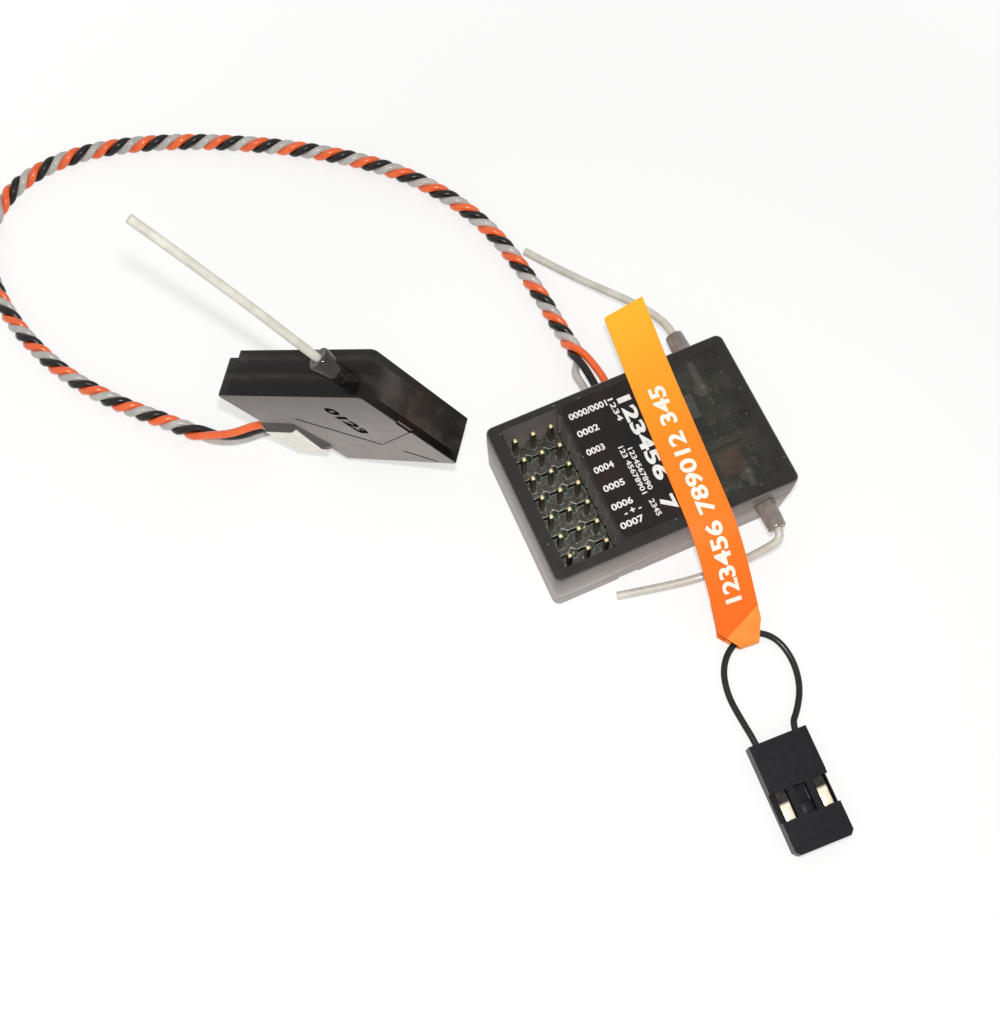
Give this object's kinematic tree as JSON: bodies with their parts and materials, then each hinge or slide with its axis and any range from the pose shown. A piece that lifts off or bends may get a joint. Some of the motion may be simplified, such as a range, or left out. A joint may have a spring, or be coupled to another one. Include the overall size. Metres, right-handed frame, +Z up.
{
  "type": "radio control receiver",
  "caption": "Small radio control receiver in a smoked clear case with upright servo pin headers, two whip antennas, a remote receiver on a twisted lead and a bind plug with a pull tag.",
  "frame": {"origin": "middle of the underside of the receiver case, on the table", "axes": "+X along the case from the pin end to the clear end, +Y to the side the lead leaves, +Z up"},
  "size_m": [0.089, 0.134, 0.0489],
  "materials": {
    "smoked_case": "smooth smoked clear plastic",
    "smoked_lid": "smooth smoked clear plastic",
    "label_film": "satin printed film",
    "circuit_board": "green solder resist over glass fibre",
    "black_moulding": "fine matte moulding",
    "chip_body": "matte epoxy",
    "bright_metal": "tinned",
    "gold_metal": "plated",
    "capacitor_can": "bright drawn can",
    "lamp_lens": "clear epoxy",
    "boot_rubber": "satin",
    "antenna_jacket": "satin grey jacket",
    "cream_nylon": "satin nylon",
    "lead_jacket": "satin jackets of three colours",
    "loop_jacket": "satin jacket",
    "tag_film": "satin printed film"
  },
  "bodies": {
    "root": {"antenna_front": "antenna_jacket", "antenna_rear": "antenna_jacket", "bind_contact_left": "gold_metal", "bind_contact_right": "gold_metal", "bind_housing": "black_moulding", "bind_loop": "loop_jacket", "board_link": "black_moulding", "boot_front": "boot_rubber", "boot_rear": "boot_rubber", "bottom_shell": "smoked_case", "capacitor": "capacitor_can", "crystal": "bright_metal", "header_pins_1": "gold_metal", "header_pins_2": "gold_metal", "header_pins_3": "gold_metal", "header_pins_4": "gold_metal", "header_pins_5": "gold_metal", "header_pins_6": "gold_metal", "header_pins_7": "gold_metal", "header_strip_1": "black_moulding", "header_strip_2": "black_moulding", "header_strip_3": "black_moulding", "header_strip_4": "black_moulding", "header_strip_5": "black_moulding", "header_strip_6": "black_moulding", "header_strip_7": "black_moulding", "label": "label_film", "lead": "lead_jacket", "lead_plug": "cream_nylon", "lead_socket": "cream_nylon", "main_board": "circuit_board", "processor": "chip_body", "pull_tag": "tag_film", "radio_board": "circuit_board", "radio_chip": "chip_body", "radio_shield": "bright_metal", "regulator": "chip_body", "remote_antenna_lower": "antenna_jacket", "remote_antenna_upper": "antenna_jacket", "remote_base": "smoked_case", "remote_board": "circuit_board", "remote_boot_lower": "boot_rubber", "remote_boot_upper": "boot_rubber", "remote_chip": "chip_body", "remote_crystal": "bright_metal", "remote_lamp": "lamp_lens", "remote_lead_plug": "cream_nylon", "remote_socket": "cream_nylon", "remote_top": "smoked_lid", "status_lamp": "lamp_lens", "top_shell": "smoked_case"}
  },
  "joints": []
}
